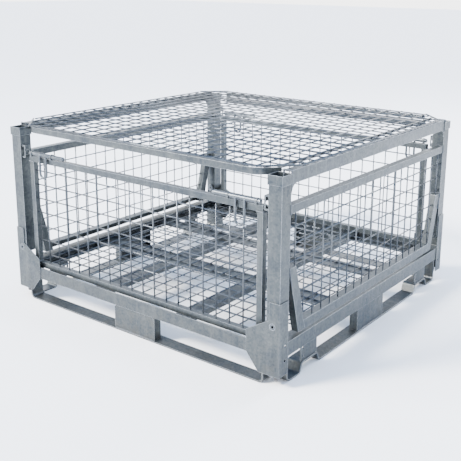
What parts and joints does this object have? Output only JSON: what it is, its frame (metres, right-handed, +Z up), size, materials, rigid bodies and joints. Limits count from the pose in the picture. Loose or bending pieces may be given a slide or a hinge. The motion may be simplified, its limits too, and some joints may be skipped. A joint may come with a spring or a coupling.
{
  "type": "wire mesh container",
  "caption": "Collapsible galvanised wire mesh container on skids, with hinged end frames, drop panels locked by slide bolts, stacking cups and a mesh lid.",
  "frame": {"origin": "on the floor under the middle of the base", "axes": "+X to the right along the panels, +Y from the front panel to the rear panel, +Z up"},
  "size_m": [1.165, 1.13, 0.6495],
  "materials": {
    "galvanised_sheet": "dull galvanised sheet steel",
    "galvanised_wire": "bright galvanised wire",
    "galvanised_bar": "galvanised round bar",
    "dark_foot": "dark weathered steel"
  },
  "bodies": {
    "base": {"base_front_rail": "galvanised_sheet", "base_left_rail": "galvanised_sheet", "base_rear_rail": "galvanised_sheet", "base_right_rail": "galvanised_sheet", "centre_blocks": "galvanised_sheet", "floor_bearers_cross": "galvanised_sheet", "floor_bearers_long": "galvanised_sheet", "floor_mesh": "galvanised_wire", "front_skid": "galvanised_sheet", "left_skid": "galvanised_sheet", "leg_plates": "galvanised_sheet", "panel_hinge_lugs": "galvanised_sheet", "panel_hinge_pins": "galvanised_bar", "post_pivot_pins": "galvanised_bar", "rear_skid": "galvanised_sheet", "right_skid": "galvanised_sheet", "sleeve_front_left": "galvanised_sheet", "sleeve_front_right": "galvanised_sheet", "sleeve_rear_left": "galvanised_sheet", "sleeve_rear_right": "galvanised_sheet", "stacking_feet": "dark_foot"},
    "left_end": {"left_end_bolt_keepers": "galvanised_sheet", "left_end_braces": "galvanised_sheet", "left_end_low_rail": "galvanised_sheet", "left_end_mesh": "galvanised_wire", "left_end_mid_rail": "galvanised_sheet", "left_end_posts": "galvanised_sheet", "left_end_stacking_cups": "galvanised_sheet", "left_end_top_rail": "galvanised_sheet"},
    "right_end": {"right_end_bolt_keepers": "galvanised_sheet", "right_end_braces": "galvanised_sheet", "right_end_low_rail": "galvanised_sheet", "right_end_mesh": "galvanised_wire", "right_end_mid_rail": "galvanised_sheet", "right_end_posts": "galvanised_sheet", "right_end_stacking_cups": "galvanised_sheet", "right_end_top_rail": "galvanised_sheet"},
    "front_panel": {"front_panel_bolt_guides": "galvanised_sheet", "front_panel_bottom_bar": "galvanised_sheet", "front_panel_mesh": "galvanised_wire", "front_panel_stiles": "galvanised_sheet", "front_panel_top_rail": "galvanised_sheet"},
    "rear_panel": {"rear_panel_bolt_guides": "galvanised_sheet", "rear_panel_bottom_bar": "galvanised_sheet", "rear_panel_mesh": "galvanised_wire", "rear_panel_stiles": "galvanised_sheet", "rear_panel_top_rail": "galvanised_sheet"},
    "lid_carrier": {"lid_carrier_rail": "galvanised_sheet", "lid_hinge_pins": "galvanised_bar"},
    "lid": {"lid_mesh": "galvanised_wire", "lid_front_bar": "galvanised_sheet", "lid_rear_bar": "galvanised_sheet", "lid_side_strips": "galvanised_sheet", "lid_corner_rods": "galvanised_bar"},
    "bolt_front_left": {"slide_bolt_front_left": "galvanised_bar"},
    "bolt_front_right": {"slide_bolt_front_right": "galvanised_bar"},
    "bolt_rear_left": {"slide_bolt_rear_left": "galvanised_bar"},
    "bolt_rear_right": {"slide_bolt_rear_right": "galvanised_bar"}
  },
  "joints": [
    {"name": "left_end_fold", "type": "hinge", "parent": "base", "child": "left_end", "pos_m": [-0.5566, 0, 0.19], "axis": [0, 1, 0], "range_deg": [0, 25]},
    {"name": "right_end_fold", "type": "hinge", "parent": "base", "child": "right_end", "pos_m": [0.5566, 0, 0.19], "axis": [0, -1, 0], "range_deg": [0, 25]},
    {"name": "front_panel_fold", "type": "hinge", "parent": "base", "child": "front_panel", "pos_m": [0, -0.537, 0.135], "axis": [-1, 0, 0], "range_deg": [0, 90]},
    {"name": "rear_panel_fold", "type": "hinge", "parent": "base", "child": "rear_panel", "pos_m": [0, 0.537, 0.135], "axis": [1, 0, 0], "range_deg": [0, 90]},
    {"name": "lid_lift", "type": "slide", "parent": "base", "child": "lid_carrier", "axis": [0, 0, 1], "range_m": [0, 0.7]},
    {"name": "lid_hinge", "type": "hinge", "parent": "lid_carrier", "child": "lid", "pos_m": [0, 0.545, 0.635], "axis": [-1, 0, 0], "range_deg": [0, 90]},
    {"name": "front_left_bolt_slide", "type": "slide", "parent": "front_panel", "child": "bolt_front_left", "axis": [-1, 0, 0], "range_m": [-0.008, 0.031]},
    {"name": "rear_left_bolt_slide", "type": "slide", "parent": "rear_panel", "child": "bolt_rear_left", "axis": [-1, 0, 0], "range_m": [-0.008, 0.031]},
    {"name": "front_right_bolt_slide", "type": "slide", "parent": "front_panel", "child": "bolt_front_right", "axis": [1, 0, 0], "range_m": [-0.008, 0.031]},
    {"name": "rear_right_bolt_slide", "type": "slide", "parent": "rear_panel", "child": "bolt_rear_right", "axis": [1, 0, 0], "range_m": [-0.008, 0.031]}
  ],
  "couplings": [
    {"joint": "right_end_fold", "follows": "left_end_fold", "ratio": 1},
    {"joint": "front_panel_fold", "follows": "left_end_fold", "ratio": 3.599},
    {"joint": "rear_panel_fold", "follows": "left_end_fold", "ratio": 3.599},
    {"joint": "lid_lift", "follows": "left_end_fold", "m_per_rad": 1.6}
  ]
}
